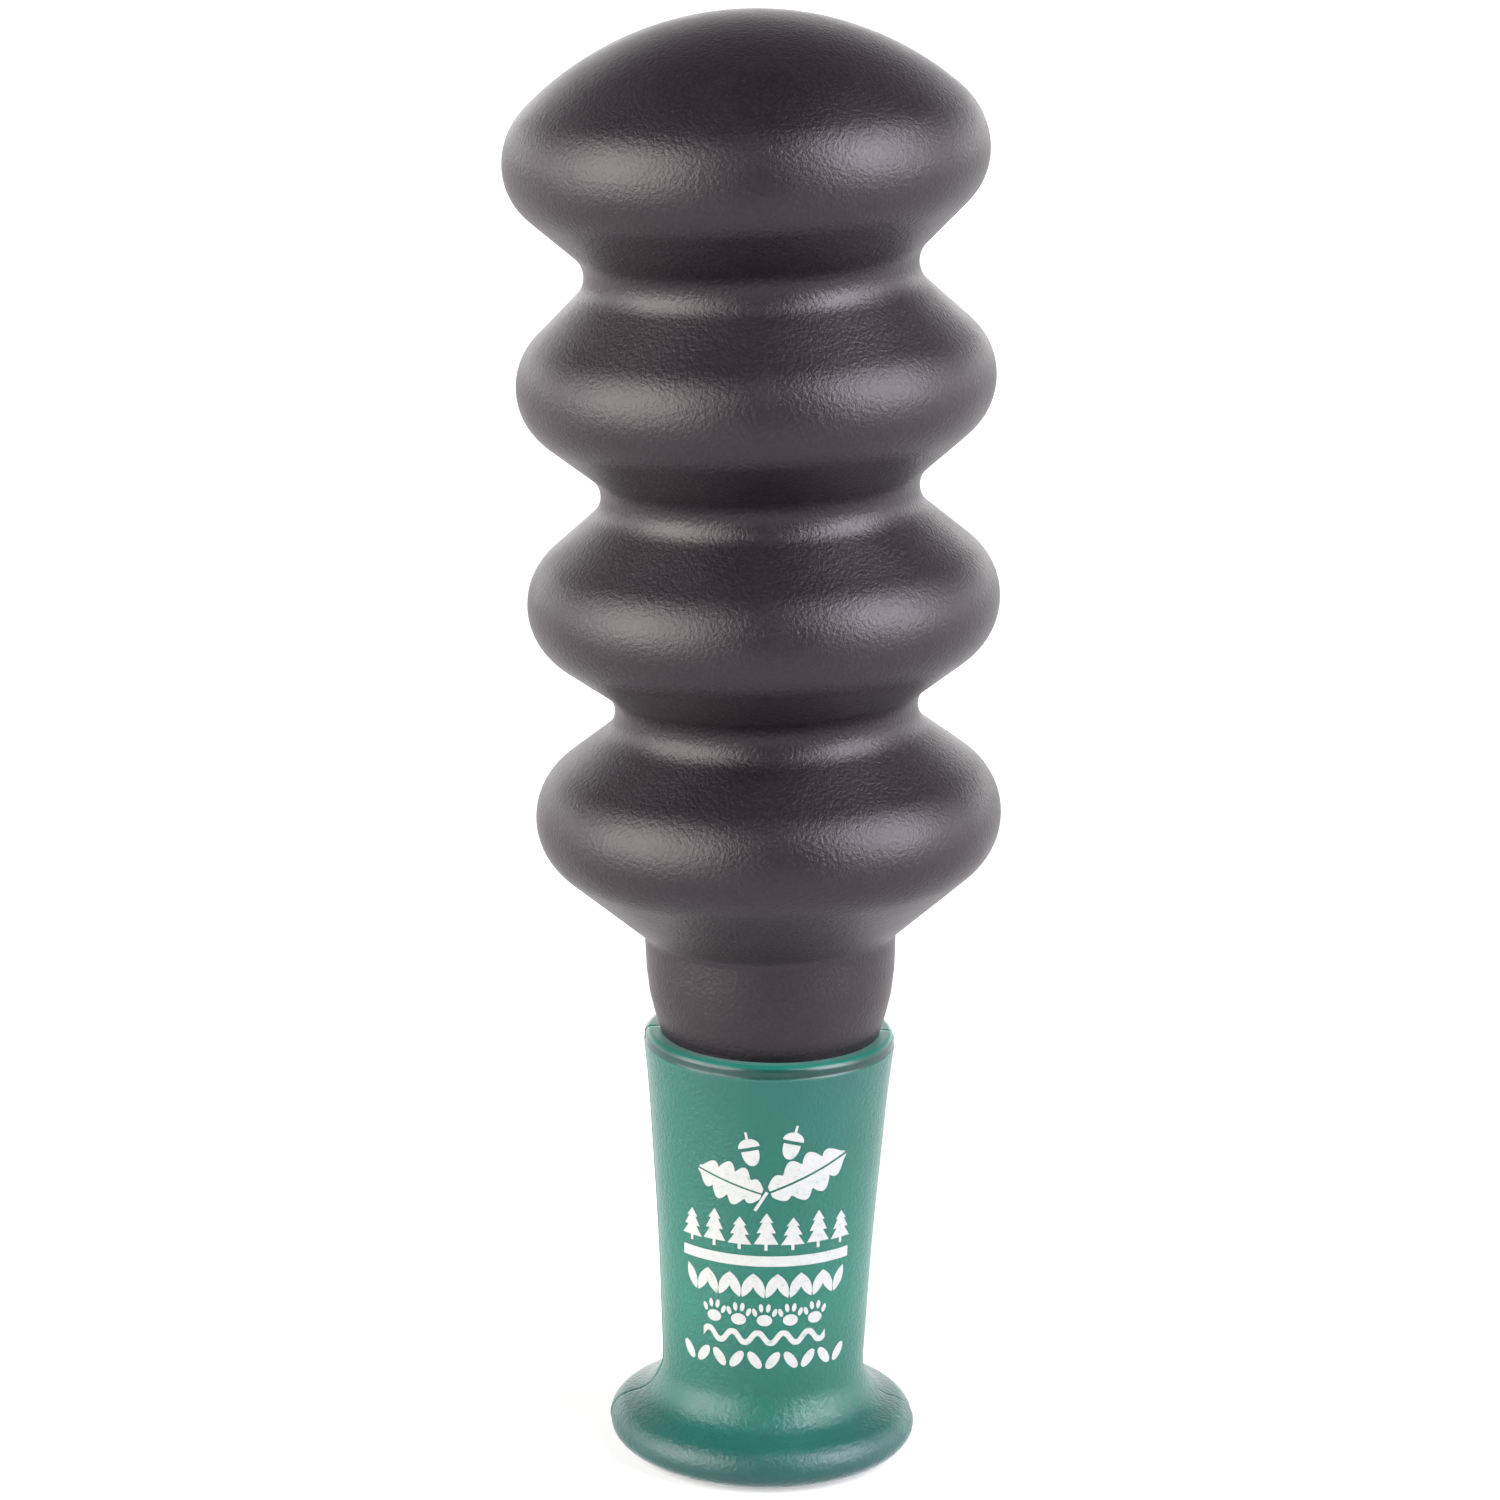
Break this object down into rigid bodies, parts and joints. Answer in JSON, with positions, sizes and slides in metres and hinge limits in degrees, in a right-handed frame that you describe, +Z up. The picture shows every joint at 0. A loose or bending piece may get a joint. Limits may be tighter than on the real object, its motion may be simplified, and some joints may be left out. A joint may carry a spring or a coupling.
{
  "type": "bellows game call",
  "caption": "Hand-held wildlife call: a folding rubber bellows pumps air through a reed inside a flared, translucent plastic barrel.",
  "frame": {"origin": "on the base plane, at the barrel's axis", "axes": "+Z up along the barrel to the bellows crown; the barrel halves meet on Y = 0 and the printed half faces -Y"},
  "size_m": [0.044, 0.044, 0.1366],
  "materials": {
    "barrel_green": "translucent moulded plastic, satin with fine scuffs",
    "bellows_rubber": "satin, finely pebbled",
    "print_ink": "worn pad-printed ink",
    "holder_black": "moulded",
    "seal_rubber": "smooth",
    "toneboard_white": "polished",
    "reed_film": "clear polyester film",
    "cork": "ground composition cork"
  },
  "bodies": {
    "barrel": {"barrel_front_half": "barrel_green", "barrel_rear_half": "barrel_green", "bellows_neck": "bellows_rubber", "reed_holder": "holder_black", "o_ring": "seal_rubber", "toneboard": "toneboard_white", "wedge": "cork"},
    "bellows": {"bellows_convolutions": "bellows_rubber"},
    "crown": {"bellows_crown": "bellows_rubber"},
    "reed": {"reed": "reed_film"}
  },
  "joints": [
    {"name": "bellows_sway", "type": "hinge", "parent": "barrel", "child": "bellows", "pos_m": [0, 0, 0.046], "axis": [0, 1, 0], "range_deg": [-12, 12], "stiffness_Nm_per_rad": 0.6, "deforming": ["bellows_neck"]},
    {"name": "bellows_squeeze", "type": "slide", "parent": "bellows", "child": "crown", "axis": [0, 0, -1], "range_m": [0, 0.03], "stiffness_N_per_m": 500, "deforming": ["bellows_convolutions"]},
    {"name": "reed_flex", "type": "hinge", "parent": "barrel", "child": "reed", "pos_m": [0, -0.00052, 0.04], "axis": [1, 0, 0], "range_deg": [-2.4, 1.5], "stiffness_Nm_per_rad": 0.0064, "deforming": ["reed"]}
  ]
}
